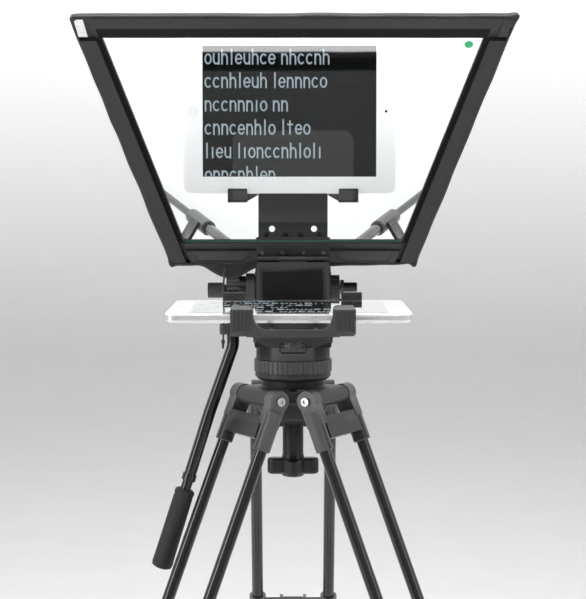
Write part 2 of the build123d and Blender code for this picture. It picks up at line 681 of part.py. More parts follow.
TAB_Y = TAB_FRONT + TAB_D / 2
BUTTON_X = TAB_X - 109.5
with BuildPart() as tablet:
    with BuildSketch(Plane.XY.offset(up(TAB_H))):
        with Locations((TAB_X, TAB_Y)):
            RectangleRounded(TAB_W - 6, TAB_D - 6, TAB_R - 2)
    with BuildSketch(Plane.XY.offset(up(TAB_H + 3))):
        with Locations((TAB_X, TAB_Y)):
            RectangleRounded(TAB_W, TAB_D, TAB_R)
    loft()
    with BuildSketch(Plane.XY.offset(up(TAB_H + 3))):
        with Locations((TAB_X, TAB_Y)):
            RectangleRounded(TAB_W, TAB_D, TAB_R)
    extrude(amount=TAB_T - 3 - 1.2)
    with BuildSketch(Plane.XZ.offset(-TAB_FRONT)):
        with Locations((71, up(TAB_H + 4.6))):
            SlotOverall(19, 1.8)
        with Locations((90.6, up(TAB_H + 4.6))):
            Circle(1.7)
    extrude(amount=-1.5, mode=Mode.SUBTRACT)
    with BuildSketch(Plane.XY.offset(up(TAB_H + TAB_T - 3))):
        with Locations((BUTTON_X, TAB_Y)):
            Circle(5.9)
    extrude(amount=3, mode=Mode.SUBTRACT)
tablet.part.label = "tablet"
export_step(tablet.part, "parts/tablet.step")

with BuildPart() as tablet_front:
    with BuildSketch(Plane.XY.offset(up(TAB_H + TAB_T - 1.2))):
        with Locations((TAB_X, TAB_Y)):
            RectangleRounded(TAB_W, TAB_D, TAB_R)
        with Locations((BUTTON_X, TAB_Y)):
            Circle(5.9, mode=Mode.SUBTRACT)
    extrude(amount=1.2)
tablet_front.part.label = "tablet_front"
export_step(tablet_front.part, "parts/tablet_front.step")

with BuildPart() as home_button:
    with BuildSketch(Plane.XY.offset(up(TAB_H + TAB_T - 1.8))):
        with Locations((BUTTON_X, TAB_Y)):
            Circle(5.5)
    extrude(amount=1.6)
home_button.part.label = "home_button"
export_step(home_button.part, "parts/home_button.step")

# ---------------------------------------------------------------- glass frame

with BuildPart() as glass:
    with BuildSketch(FRAME.offset(-GLASS_T)):
        Polygon(*trapezoid(0, OPEN_LEN, inner, 4), align=None)
    extrude(amount=GLASS_T)
glass.part.label = "glass"
export_step(glass.part, "parts/glass.step")


with BuildPart() as top_bar:
    end = OPEN_LEN + TOP_W
    for low, bottom, top in ((OPEN_LEN, -12, 2), (OPEN_LEN + 13, 2, 4), (OPEN_LEN + 16.4, 4, 6)):
        with BuildSketch(FRAME.offset(bottom)):
            Polygon(*trapezoid(low, end, outer), align=None)
        extrude(amount=top - bottom)
    with BuildSketch(Plane.YZ):
        Polygon(frame_point(end, 1), frame_point(end + 20, 1), frame_point(end + 20, -13), frame_point(end - 14, -13),
                align=None)
    extrude(amount=250, both=True, mode=Mode.SUBTRACT)
    add(glass.part, mode=Mode.SUBTRACT)
top_bar.part.label = "top_bar"
export_step(top_bar.part, "parts/top_bar.step")

with BuildPart() as bottom_bar:
    with BuildSketch(FRAME.offset(-12)):
        Polygon(*trapezoid(-BOTTOM_W, 0, inner), align=None)
    extrude(amount=15.5)
    with BuildSketch(FRAME.offset(3.5)):
        Polygon(*trapezoid(-BOTTOM_W, -9.4, inner), align=None)
        with Locations((0, -5)):
            Rectangle(82, 10)
    extrude(amount=2.5)
    for s in (-1, 1):
        with BuildSketch(FRAME.offset(5.2)):
            Polygon((s * 56, -26), (s * 106, -26), (s * 110, -11.5), (s * 52, -11.5), (s * 49, -18), align=None)
        extrude(amount=2, mode=Mode.SUBTRACT)
    add(glass.part, mode=Mode.SUBTRACT)
bottom_bar.part.label = "bottom_bar"
export_step(bottom_bar.part, "parts/bottom_bar.step")

for name, s in (("left_bar", -1), ("right_bar", 1)):
    with BuildPart() as side_bar:
        with BuildSketch(FRAME.offset(-12)):
            Polygon((s * inner(-BOTTOM_W), -BOTTOM_W), (s * outer(-BOTTOM_W), -BOTTOM_W),
                    (s * outer(OPEN_LEN), OPEN_LEN), (s * inner(OPEN_LEN), OPEN_LEN), align=None)
        extrude(amount=14)
        with BuildSketch(FRAME.offset(2)):
            Polygon((s * (inner(-BOTTOM_W) + 5.2), -BOTTOM_W), (s * outer(-BOTTOM_W), -BOTTOM_W),
                    (s * outer(OPEN_LEN), OPEN_LEN), (s * (inner(OPEN_LEN) + 5.2), OPEN_LEN), align=None)
        extrude(amount=4.6)
        add(glass.part, mode=Mode.SUBTRACT)
    side_bar.part.label = name
    export_step(side_bar.part, f"parts/{name}.step")

with BuildPart() as hinge_upper:
    with BuildSketch(FRAME.offset(6)):
        with Locations((0, (HINGE_U - 1) / 2)):
            Rectangle(BRACKET_W, -1 - HINGE_U)
    extrude(amount=1.6)
    with BuildSketch(Plane.YZ.offset(-BRACKET_W / 2)):
        with Locations(HINGE_YZ):
            Circle(KNUCKLE_R)
    extrude(amount=BRACKET_W)
    with BuildSketch(Plane.YZ.offset(-16)):
        with Locations(HINGE_YZ):
            Circle(KNUCKLE_R + 0.9)
    extrude(amount=32, mode=Mode.SUBTRACT)
    with BuildSketch(Plane.YZ.offset(-BRACKET_W / 2)):
        with Locations(HINGE_YZ):
            Circle(PIN_R)
    extrude(amount=BRACKET_W)
hinge_upper.part.label = "hinge_upper"
export_step(hinge_upper.part, "parts/hinge_upper.step")

with BuildPart() as hinge_screws:
    with BuildSketch(FRAME.offset(7.6)):
        with Locations((-34, -10), (-12, -10), (12, -10), (34, -10)):
            Circle(2.2)
    extrude(amount=1)
hinge_screws.part.label = "hinge_screws"
export_step(hinge_screws.part, "parts/hinge_screws.step")

with BuildPart() as hinge_lower:
    with BuildSketch(Plane.YZ):
        with Locations(HINGE_YZ):
            Circle(KNUCKLE_R)
        Polygon((PANEL_Y + PLATE_T, up(PLATE_H + PLATE_T)), (PANEL_Y + PLATE_T + 1.6, up(PLATE_H + PLATE_T)),
                (PANEL_Y + PLATE_T + 1.6, HINGE_YZ[1]), (PANEL_Y + PLATE_T, HINGE_YZ[1]), align=None)
        with Locations(HINGE_YZ):
            Circle(PIN_R + RUN, mode=Mode.SUBTRACT)
    extrude(amount=15.6, both=True)
hinge_lower.part.label = "hinge_lower"
export_step(hinge_lower.part, "parts/hinge_lower.step")

# ---------------------------------------------------------------- hood

SKIN = 2.5
HOOD_BACK, BACK_LOW, BACK_HIGH = 65.0, 174.0, 372.0
BACK_HALF_LOW, BACK_HALF_HIGH = 118.0, 150.0
PORT_W, PORT_H, PORT_MID = 150.0, 115.0, 256.7


def back_wall(grow):
    return [(-BACK_HALF_LOW - grow, up(BACK_LOW - grow)), (BACK_HALF_LOW + grow, up(BACK_LOW - grow)),
            (BACK_HALF_HIGH + grow, up(BACK_HIGH + grow)), (-BACK_HALF_HIGH - grow, up(BACK_HIGH + grow))]


with BuildPart() as hood:
    with BuildSketch(FRAME.offset(-14)):
        Polygon(*trapezoid(-BOTTOM_W, OPEN_LEN + TOP_W, outer, SKIN), align=None)
    with BuildSketch(Plane.XZ.offset(-HOOD_BACK)):
        Polygon(*back_wall(0), align=None)
    loft(ruled=True)
    with BuildSketch(FRAME.offset(-14)):
        Polygon(*trapezoid(-BOTTOM_W, OPEN_LEN + TOP_W, outer), align=None)
    with BuildSketch(Plane.XZ.offset(-HOOD_BACK + SKIN)):
        Polygon(*back_wall(-SKIN), align=None)
    loft(ruled=True, mode=Mode.SUBTRACT)
    with BuildSketch(FRAME.offset(-14)):
        Polygon(*trapezoid(-BOTTOM_W, OPEN_LEN + TOP_W, outer, SKIN), align=None)
        Polygon(*trapezoid(-BOTTOM_W, OPEN_LEN + TOP_W, outer), align=None, mode=Mode.SUBTRACT)
    extrude(amount=18)
    with BuildSketch(Plane.XZ.offset(-HOOD_BACK - 5)):
        with Locations((0, up(PORT_MID))):
            RectangleRounded(PORT_W, PORT_H, 14)
    extrude(amount=12, mode=Mode.SUBTRACT)
hood.part.label = "hood"
export_step(hood.part, "parts/hood.step")

# Drawcord of the hood's hem, with its lock and its end
CORD_X, CORD_Y, CORD_R = -78.0, -108.0, 1.1
CORD_ROUTE = [Vector(CORD_X + 3, CORD_Y + 6, up(160)), Vector(CORD_X, CORD_Y, up(140)),
              Vector(CORD_X + 1.5, CORD_Y - 1, up(112)), Vector(CORD_X, CORD_Y, up(74))]
with BuildPart() as drawcord:
    with BuildLine() as cord_path:
        start = CORD_ROUTE[0]
        for before, corner, after in zip(CORD_ROUTE, CORD_ROUTE[1:], CORD_ROUTE[2:]):
            d0, d1 = (corner - before).normalized(), (after - corner).normalized()
            half = radians(d0.get_angle(d1) / 2)
            reach = 0.45 * min((corner - before).length, (after - corner).length)
            radius = reach / tan(half)
            print(f"drawcord arc radius {radius:.1f}")
            centre = corner + (d1 - d0).normalized() * (radius / cos(half))
            Line(start, corner - d0 * reach)
            ThreePointArc(corner - d0 * reach, centre + (corner - centre).normalized() * radius, corner + d1 * reach)
            start = corner + d1 * reach
        Line(start, CORD_ROUTE[-1])
    with BuildSketch(Plane(cord_path.line @ 0, z_dir=cord_path.line % 0)):
        Circle(CORD_R)
    sweep()
    length = sum(e.length for e in cord_path.edges())
    print(f"drawcord length {length:.1f}, volume over section {drawcord.part.volume / (pi * CORD_R ** 2):.1f}")
drawcord.part.label = "drawcord"
export_step(drawcord.part, "parts/drawcord.step")

with BuildPart() as cord_lock:
    with Locations((CORD_X + 0.7, CORD_Y - 0.5, up(87.5))):
        Cylinder(4.5, 12)
        Cylinder(1.9, 13, mode=Mode.SUBTRACT)
    chamfer(cord_lock.edges().filter_by(GeomType.CIRCLE).filter_by(lambda e: e.radius > 4), 1)
cord_lock.part.label = "cord_lock"
export_step(cord_lock.part, "parts/cord_lock.step")
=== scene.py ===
"""The looks of a teleprompter on a fluid head and tripod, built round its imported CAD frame.

Places are in millimetres as (x across, y away from the reader, height above the leg hinges), turned into
metres by P, or on the slope of the glass by F.
"""

import bpy
import bmesh
import json
import random
from math import sin, cos, pi, radians, exp
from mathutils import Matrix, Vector, noise


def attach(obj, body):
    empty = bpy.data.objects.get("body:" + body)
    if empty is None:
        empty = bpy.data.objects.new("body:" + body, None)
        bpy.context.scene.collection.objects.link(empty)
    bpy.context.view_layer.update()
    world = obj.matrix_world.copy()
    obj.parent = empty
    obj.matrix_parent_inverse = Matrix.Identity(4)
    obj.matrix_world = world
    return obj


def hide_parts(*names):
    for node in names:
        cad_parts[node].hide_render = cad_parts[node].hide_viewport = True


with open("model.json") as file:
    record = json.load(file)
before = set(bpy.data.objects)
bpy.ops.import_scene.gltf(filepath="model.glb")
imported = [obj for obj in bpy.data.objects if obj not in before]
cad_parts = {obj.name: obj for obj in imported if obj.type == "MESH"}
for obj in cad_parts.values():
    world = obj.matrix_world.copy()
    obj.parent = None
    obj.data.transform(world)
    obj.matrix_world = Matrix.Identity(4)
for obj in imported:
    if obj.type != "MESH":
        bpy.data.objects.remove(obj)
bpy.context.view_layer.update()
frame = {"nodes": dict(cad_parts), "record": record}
nodes = frame["nodes"]
HINGE = 0.759                # height of the leg hinges above the floor, in metres
COS_45 = cos(radians(45))
GLASS_FOOT_Y, GLASS_FOOT_H = -120, 185.5     # lower edge of the glass
GLASS_HALF, GLASS_FLARE = 120, 0.2245        # half width at the lower edge, and its growth up the slope
BAR_WIDE = 21.5
GLASS_TOP = 294              # where the glass meets the top bar, measured up the slope
SIDES = ((-1, "left"), (1, "right"))


def up(h):
    """Height in metres of a point h millimetres above the leg hinges."""
    return HINGE + h / 1000


def P(x, y, h):
    """Point in metres from millimetres."""
    return Vector((x / 1000, y / 1000, up(h)))


def F(x, u, n):
    """Point by the glass from millimetres: x across, u up its slope, n off it on the reader's side."""
    return P(x, GLASS_FOOT_Y - COS_45 * (u + n), GLASS_FOOT_H + COS_45 * (u - n))


def off_glass(thick):
    """Vector of a thickness in millimetres along the glass's normal."""
    return F(0, 0, thick) - F(0, 0, 0)


def inner(u):
    """Half width of the glass opening, u up the slope."""
    return GLASS_HALF + GLASS_FLARE * u


def outer(u):
    """Half width of the bar frame, u up the slope."""
    return inner(u) + BAR_WIDE


def angles(count):
    """Even steps round a circle."""
    return [2 * pi * i / count for i in range(count)]


# ------------------------------------------------------------ camera
LENS = 103.1                 # millimetres on a 36 mm sensor
EYE_AWAY = 2.013             # metres in front of the pan axis
EYE_HIGH = 261
LOOK_DOWN = 4.22             # degrees
cam_data = bpy.data.cameras.new("camera")
cam_data.lens = LENS
cam_data.sensor_width = 36
cam_data.clip_end = 50
cam = bpy.data.objects.new("camera", cam_data)
bpy.context.scene.collection.objects.link(cam)
cam.location = (0, -EYE_AWAY, up(EYE_HIGH))
cam.rotation_euler = (radians(90 - LOOK_DOWN), 0, 0)
bpy.context.scene.camera = cam


# ------------------------------------------------------------ materials
def tree(name):
    """New node material: the material, its node tree and its Principled shader."""
    m = bpy.data.materials.new(name)
    m.use_nodes = True
    nt = m.node_tree
    b = nt.nodes["Principled BSDF"]
    return m, nt, b


def add(nt, kind, **values):
    """New node with its sockets, or else its own settings, set by name."""
    n = nt.nodes.new(kind)
    for k, v in values.items():
        if k in n.inputs:
            n.inputs[k].default_value = v
        else:
            setattr(n, k, v)
    return n


def ramp(nt, source, stops):
    """Colour ramp over a source, from (place, grey or colour) stops."""
    r = nt.nodes.new("ShaderNodeValToRGB")
    els = r.color_ramp.elements
    while len(els) < len(stops):
        els.new(0.5)
    for e, (p, c) in zip(els, stops):
        e.position = p
        e.color = (c[0], c[1], c[2], 1) if isinstance(c, (tuple, list)) else (c, c, c, 1)
    nt.links.new(source, r.inputs[0])
    return r


def surface(name, low, high, rough=(0.4, 0.55), metal=0.0, scale=180.0, bump=0.15, depth=0.0004,
            stretch=(1, 1, 1), speck=None, coat=0.0, wear=None, spec=0.5):
    """Noise-driven colour, roughness and bump, with optional specks and worn edges."""
    m, nt, b = tree(name)
    b.inputs["Metallic"].default_value = metal
    b.inputs["Coat Weight"].default_value = coat
    b.inputs["Specular IOR Level"].default_value = spec
    tc = add(nt, "ShaderNodeTexCoord")
    mp = add(nt, "ShaderNodeMapping")
    mp.inputs["Scale"].default_value = stretch
    nt.links.new(tc.outputs["Object"], mp.inputs["Vector"])
    nz = add(nt, "ShaderNodeTexNoise", Scale=scale, Detail=6.0, Roughness=0.6)
    big = add(nt, "ShaderNodeTexNoise", Scale=scale / 14, Detail=3.0)
    nt.links.new(mp.outputs[0], nz.inputs["Vector"])
    nt.links.new(mp.outputs[0], big.inputs["Vector"])
    mix = add(nt, "ShaderNodeMix", data_type="FLOAT")
    mix.inputs[0].default_value = 0.45
    nt.links.new(nz.outputs["Fac"], mix.inputs[2])
    nt.links.new(big.outputs["Fac"], mix.inputs[3])
    col = ramp(nt, mix.outputs[0], [(0.3, low), (0.7, high)])
    out = col.outputs[0]
    if speck:
        vo = add(nt, "ShaderNodeTexVoronoi", Scale=speck[0])
        nt.links.new(tc.outputs["Object"], vo.inputs["Vector"])
        sp = ramp(nt, vo.outputs["Distance"], [(0.0, 1.0), (speck[1], 0.0)])
        sm = add(nt, "ShaderNodeMix", data_type="RGBA")
        nt.links.new(sp.outputs[0], sm.inputs[0])
        nt.links.new(out, sm.inputs[6])
        sm.inputs[7].default_value = (*speck[2], 1)
        out = sm.outputs[2]
    if wear:
        geo = add(nt, "ShaderNodeNewGeometry")
        wr = ramp(nt, geo.outputs["Pointiness"], [(0.52, 0.0), (0.6, 1.0)])
        wm = add(nt, "ShaderNodeMix", data_type="RGBA")
        nt.links.new(wr.outputs[0], wm.inputs[0])
        nt.links.new(out, wm.inputs[6])
        wm.inputs[7].default_value = (*wear, 1)
        out = wm.outputs[2]
    nt.links.new(out, b.inputs["Base Color"])
    rr = ramp(nt, nz.outputs["Fac"], [(0.25, rough[0]), (0.75, rough[1])])
    nt.links.new(rr.outputs[0], b.inputs["Roughness"])
    bp = add(nt, "ShaderNodeBump", Strength=bump, Distance=depth)
    nt.links.new(nz.outputs["Fac"], bp.inputs["Height"])
    nt.links.new(bp.outputs[0], b.inputs["Normal"])
    return m


def weave(name, low, high, pitch=900.0, bump=0.5, sheen=0.4, rough=0.85):
    """Plain-woven cloth from two crossed wave bands."""
    m, nt, b = tree(name)
    b.inputs["Roughness"].default_value = rough
    b.inputs["Sheen Weight"].default_value = sheen
    b.inputs["Sheen Roughness"].default_value = 0.45
    tc = add(nt, "ShaderNodeTexCoord")
    mul = add(nt, "ShaderNodeMath", operation="MULTIPLY")
    for i, direction in enumerate("XZ"):
        wave = add(nt, "ShaderNodeTexWave", Scale=pitch, Distortion=0.6)
        wave.bands_direction = direction
        nt.links.new(tc.outputs["Object"], wave.inputs["Vector"])
        nt.links.new(wave.outputs["Fac"], mul.inputs[i])
    nz = add(nt, "ShaderNodeTexNoise", Scale=26.0, Detail=5.0)
    nt.links.new(tc.outputs["Object"], nz.inputs["Vector"])
    mx = add(nt, "ShaderNodeMix", data_type="FLOAT")
    mx.inputs[0].default_value = 0.5
    nt.links.new(mul.outputs[0], mx.inputs[2])
    nt.links.new(nz.outputs["Fac"], mx.inputs[3])
    col = ramp(nt, mx.outputs[0], [(0.2, low), (0.75, high)])
    nt.links.new(col.outputs[0], b.inputs["Base Color"])
    bp = add(nt, "ShaderNodeBump", Strength=bump, Distance=0.0003)
    nt.links.new(mul.outputs[0], bp.inputs["Height"])
    nt.links.new(bp.outputs[0], b.inputs["Normal"])
    return m


M = {
    "casting": surface("cast_black", 0.006, 0.012, (0.34, 0.55), 0.0, 900, bump=0.35, depth=0.0003,
                       wear=(0.06,) * 3, spec=0.3),
    "leg_casting": surface("leg_casting_grey", 0.011, 0.02, (0.28, 0.45), 0.0, 700, bump=0.3, depth=0.0003,
                           wear=(0.12,) * 3, spec=0.4),
    "knob": surface("knob_black", 0.004, 0.009, (0.3, 0.45), 0.0, 400, bump=0.12, depth=0.0002,
                    wear=(0.06,) * 3),
    "steel": surface("screw_steel", 0.5, 0.72, (0.22, 0.4), 1.0, 600, bump=0.05, stretch=(1, 1, 6)),
    "tube": surface("tube_black_anodised", 0.004, 0.008, (0.14, 0.22), 0.1, 260, bump=0.04,
                    stretch=(1, 1, 0.2), coat=0.3),
    "tube_grey": surface("tube_grey_anodised", 0.05, 0.08, (0.25, 0.36), 0.8, 260, bump=0.04,
                         stretch=(1, 1, 0.2)),
    "rubber": surface("rubber_black", 0.008, 0.015, (0.6, 0.8), 0.0, 800, bump=0.3, depth=0.0003),
    "black_metal": surface("sheet_black", 0.003, 0.007, (0.35, 0.5), 0.0, 1200, bump=0.3, depth=0.0002,
                           wear=(0.05,) * 3, spec=0.25),
    "frame_metal": surface("bar_dark_grey", 0.014, 0.022, (0.42, 0.6), 0.2, 1400, bump=0.3, depth=0.00025),
    "frame_brushed": surface("bar_brushed", 0.02, 0.045, (0.35, 0.55), 0.4, 700, bump=0.25, depth=0.0003,
                             stretch=(0.08, 1, 1)),
    # Near-black for the bars' inner lips and the top bar's recess: partly their own dark paint, partly
    # painted shade of the gap by the glass
    "bar_black": surface("bar_black", 0.002, 0.004, (0.5, 0.7), 0.0, 700, bump=0.15, spec=0.2),
    "bar_panel": surface("bar_panel", 0.026, 0.036, (0.45, 0.6), 0.1, 1200, bump=0.2),
    "speckled": surface("leaf_speckled", 0.015, 0.03, (0.5, 0.7), 0.0, 700, bump=0.4,
                        speck=(900, 0.22, (0.3,) * 3)),
    "bare": surface("bare_aluminium", 0.6, 0.82, (0.3, 0.45), 0.85, 800, bump=0.12, stretch=(0.15, 1, 1)),
    "jaw": surface("jaw_black", 0.004, 0.009, (0.3, 0.45), 0.0, 500, bump=0.15, wear=(0.04,) * 3, spec=0.35),
    "tablet_shell": surface("tablet_shell", 0.62, 0.75, (0.25, 0.35), 0.7, 900, bump=0.04),
    "tablet_front": surface("tablet_front", 0.88, 0.91, (0.04, 0.07), 0.0, 200, bump=0.0, coat=1.0),
    "hood": weave("hood_fabric", 0.006, 0.017),
    "binding": weave("hood_binding", 0.008, 0.024, pitch=1300, bump=0.8, sheen=0.5),
    "cord": weave("cord_braid", 0.01, 0.03, pitch=1500, bump=0.8),
    "screen": surface("screen_black", 0.002, 0.004, (0.03, 0.05), 0.0, 200, bump=0.0, coat=1.0),
    "sticker": surface("sticker_green", (0.0, 0.42, 0.12), (0.01, 0.55, 0.2), (0.4, 0.5), 0.0, 300,
                       bump=0.02),
    "glass_edge": surface("glass_edge", (0.02, 0.22, 0.17), (0.05, 0.34, 0.27), (0.1, 0.2), 0.0, 300,
                          bump=0.0),
    "knurl": surface("knurl_rubber", 0.03, 0.07, (0.3, 0.45), 0.3, 600, bump=0.1),
}


def text_light():
    """Lit strokes of the script, glossy as the screen round them."""
    m, nt, b = tree("script_light")
    tc = add(nt, "ShaderNodeTexCoord")
    nz = add(nt, "ShaderNodeTexNoise", Scale=400.0)
    nt.links.new(tc.outputs["Object"], nz.inputs["Vector"])
    c = ramp(nt, nz.outputs["Fac"], [(0.3, (0.66, 0.8, 0.88)), (0.7, (0.74, 0.87, 0.94))])
    b.inputs["Base Color"].default_value = (0.004, 0.004, 0.005, 1)
    nt.links.new(c.outputs[0], b.inputs["Emission Color"])
    b.inputs["Emission Strength"].default_value = 0.55
    b.inputs["Roughness"].default_value = 0.05
    b.inputs["Coat Weight"].default_value = 1.0
    return m


def mirror_coat():
    """The half-silvered face of the glass, which lets a little of the hood's inside through."""
    m, nt, b = tree("mirror_coat")
    tc = add(nt, "ShaderNodeTexCoord")
    nz = add(nt, "ShaderNodeTexNoise", Scale=9.0, Detail=4.0)
    nt.links.new(tc.outputs["Object"], nz.inputs["Vector"])
    c = ramp(nt, nz.outputs["Fac"], [(0.3, (0.93, 0.95, 0.955)), (0.7, (0.955, 0.97, 0.975))])
    nt.links.new(c.outputs[0], b.inputs["Base Color"])
    b.inputs["Metallic"].default_value = 1.0
    b.inputs["Roughness"].default_value = 0.012
    b.inputs["Alpha"].default_value = 0.965
    return m


def clear_back():
    """The uncoated back of the glass."""
    m, nt, b = tree("glass_back")
    tc = add(nt, "ShaderNodeTexCoord")
    nz = add(nt, "ShaderNodeTexNoise", Scale=20.0)
    nt.links.new(tc.outputs["Object"], nz.inputs["Vector"])
    c = ramp(nt, nz.outputs["Fac"], [(0.3, (0.5, 0.62, 0.58)), (0.7, (0.55, 0.68, 0.63))])
    nt.links.new(c.outputs[0], b.inputs["Base Color"])
    b.inputs["Roughness"].default_value = 0.02
    b.inputs["Alpha"].default_value = 0.08
    return m


M["text"] = text_light()
M["mirror"] = mirror_coat()
M["glass_back"] = clear_back()


# ------------------------------------------------------------ helpers
def round_edges(ob, width, angle):
    """Small bevel on the edges sharper than an angle in degrees."""
    b = ob.modifiers.new("edge", "BEVEL")
    b.width = width
    b.segments = 2
    b.limit_method = "ANGLE"
    b.angle_limit = radians(angle)


def put(name, bm, mats, body, smooth=True, levels=0, bevel=0.0, solid=0.0):
    """Makes a piece from a bmesh, in the row frame, riding on a body."""
    me = bpy.data.meshes.new(name)
    bmesh.ops.recalc_face_normals(bm, faces=bm.faces)
    bm.to_mesh(me)
    bm.free()
    ob = bpy.data.objects.new(name, me)
    bpy.context.scene.collection.objects.link(ob)
    for m in (mats if isinstance(mats, (list, tuple)) else [mats]):
        me.materials.append(m)
    for p in me.polygons:
        p.use_smooth = smooth
    if solid:
        s = ob.modifiers.new("thick", "SOLIDIFY")
        s.thickness = solid
        s.offset = 0
    if bevel:
        round_edges(ob, bevel, 40)
    if levels:
        s = ob.modifiers.new("fine", "SUBSURF")
        s.levels = s.render_levels = levels
    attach(ob, body)
    return ob


def prism(bm, ring, lift):
    """Closed prism over a ring of points, lifted by a vector. Its first two faces are its two ends."""
    lo = [bm.verts.new(p) for p in ring]
    hi = [bm.verts.new(Vector(p) + lift) for p in ring]
    n = len(ring)
    faces = [bm.faces.new(lo), bm.faces.new(list(reversed(hi)))]
    for i in range(n):
        faces.append(bm.faces.new((lo[i], lo[(i + 1) % n], hi[(i + 1) % n], hi[i])))
    return faces


def plates(name, rings, lift, mat, body, bevel=0.0):
    """One piece of flat prisms, one over each ring of points."""
    bm = bmesh.new()
    for ring in rings:
        prism(bm, ring, lift)
    put(name, bm, mat, body, smooth=False, bevel=bevel)


def lathe(name, profile, origin, axis, mat, body, seg=48, flutes=0, depth=0.0, levels=0):
    """Turned piece from (radius, distance) pairs in millimetres, with optional flutes round it."""
    axis = Vector(axis).normalized()
    side = axis.orthogonal().normalized()
    up_v = axis.cross(side)
    bm = bmesh.new()
    rings = []
    for r, d in profile:
        row = []
        for a in angles(seg):
            rr = r - (depth * (0.5 + 0.5 * cos(flutes * a)) if flutes and r > 1 else 0)
            row.append(bm.verts.new(Vector(origin) + axis * d / 1000
                                    + (side * cos(a) + up_v * sin(a)) * rr / 1000))
        rings.append(row)
    for a, b in zip(rings, rings[1:]):
        for i in range(seg):
            bm.faces.new((a[i], a[(i + 1) % seg], b[(i + 1) % seg], b[i]))
    bm.faces.new(rings[0])
    bm.faces.new(list(reversed(rings[-1])))
    return put(name, bm, mat, body, levels=levels)


def tube(name, pts, radius, mat, body, closed=False):
    """Bevelled curve through points, for piping and bindings."""
    cu = bpy.data.curves.new(name, "CURVE")
    cu.dimensions = "3D"
    cu.bevel_depth = radius / 1000
    cu.bevel_resolution = 4
    sp = cu.splines.new("NURBS")
    sp.points.add(len(pts) - 1)
    for q, p in zip(sp.points, pts):
        q.co = (p[0], p[1], p[2], 1)
    sp.order_u = 3
    sp.use_cyclic_u = closed
    sp.use_endpoint_u = not closed
    cu.materials.append(mat)
    ob = bpy.data.objects.new(name, cu)
    bpy.context.scene.collection.objects.link(ob)
    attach(ob, body)
    return ob


# ------------------------------------------------------------ drawcord
CORD_ROUTE = [(-75, -102, 160), (-78, -108, 140), (-76.5, -109, 112), (-78, -108, 74)]
cord = tube("drawcord_braid", [P(*p) for p in CORD_ROUTE], 1.1, M["cord"], "glass_unit")
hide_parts("drawcord")
KNOT = [(0.3, 0), (1.8, 0.6), (2.4, 2.4), (2.0, 4.2), (1.3, 5.4), (1.5, 9), (0.4, 11)]
cord_end = lathe("drawcord_knot", KNOT, P(-78, -108, 76), (0, 0, -1), M["cord"], "glass_unit", seg=20,
                 levels=1)

# ------------------------------------------------------------ carried-over CAD nodes
slots = {s["node"]: s["material_slot"] for s in frame["record"]["subparts"]}
for name, ob in nodes.items():
    slot = slots[name]
    if slot == "handle_metal":
        slot = "tube"
    if slot in M:
        ob.data.materials.clear()
        ob.data.materials.append(M[slot])
    if name.endswith("lower_tubes"):
        ob.data.materials[0] = M["tube_grey"]
for name in ("holder_bail", "holder_screw", "bracket_screws"):
    nodes[name].data.materials[0] = M["knob"]
for name in ("top_bar", "bottom_bar"):
    nodes[name].data.materials[0] = M["frame_brushed"]
nodes["hinge_upper"].data.materials[0] = M["speckled"]
BEVELLED = ["top_bar", "bottom_bar", "left_bar", "right_bar", "camera_plate", "drop_panel", "shelf",
            "front_fork", "rear_fork", "tilt_body", "pan_yoke", "clamp_body", "hinge_upper", "tilt_knob",
            "bowl_knob", "crown", "handle_arm"]
BEVELLED += [f"leg_{i}_{p}" for i in (1, 2, 3) for p in ("yoke", "lock", "lever", "shoe")]
for name in BEVELLED:
    round_edges(nodes[name], 0.0006, 42)

# ------------------------------------------------------------ glass
PANE_LOW, PANE_HIGH, PANE_THICK = -4, 298, 3
low_half, high_half = inner(PANE_LOW) + 4, inner(PANE_HIGH) + 4
bm = bmesh.new()
faces = prism(bm, [F(-low_half, PANE_LOW, -PANE_THICK), F(low_half, PANE_LOW, -PANE_THICK),
                   F(high_half, PANE_HIGH, -PANE_THICK), F(-high_half, PANE_HIGH, -PANE_THICK)],
              F(0, 0, 0) - F(0, 0, -PANE_THICK))
for f, mat in zip(faces, (1, 0, 2, 2, 2, 2)):
    f.material_index = mat
pane = put("mirror_pane", bm, [M["mirror"], M["glass_back"], M["glass_edge"]], "glass_unit", smooth=False)
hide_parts("glass")

# Green edge lines where the pane meets the bars
for name, u in (("glass_edge_low", 0.5), ("glass_edge_high", GLASS_TOP - 0.5)):
    w = inner(u) - 1
    line = [F(-w, u - 0.5, 0), F(w, u - 0.5, 0), F(w, u + 0.5, 0), F(-w, u + 0.5, 0)]
    plates(name, [line], off_glass(0.12), M["glass_edge"], "glass_unit")

STICKER_X, STICKER_U, STICKER_R = 172, 284, 4.2
ring = [F(STICKER_X + STICKER_R * cos(a), STICKER_U + STICKER_R * sin(a), 0) for a in angles(32)]
plates("round_sticker", [ring], off_glass(0.25), M["sticker"], "glass_unit")


# ------------------------------------------------------------ bars
def frame_plate(name, outline, n, thick, mat, flip=1, bevel=0.0):
    """Thin piece of (x, u) outline on the bars, n off the glass; flip -1 mirrors it to the left."""
    ring = [F(flip * x, u, n) for x, u in outline]
    plates(name, [ring], off_glass(thick), mat, "glass_unit", bevel)
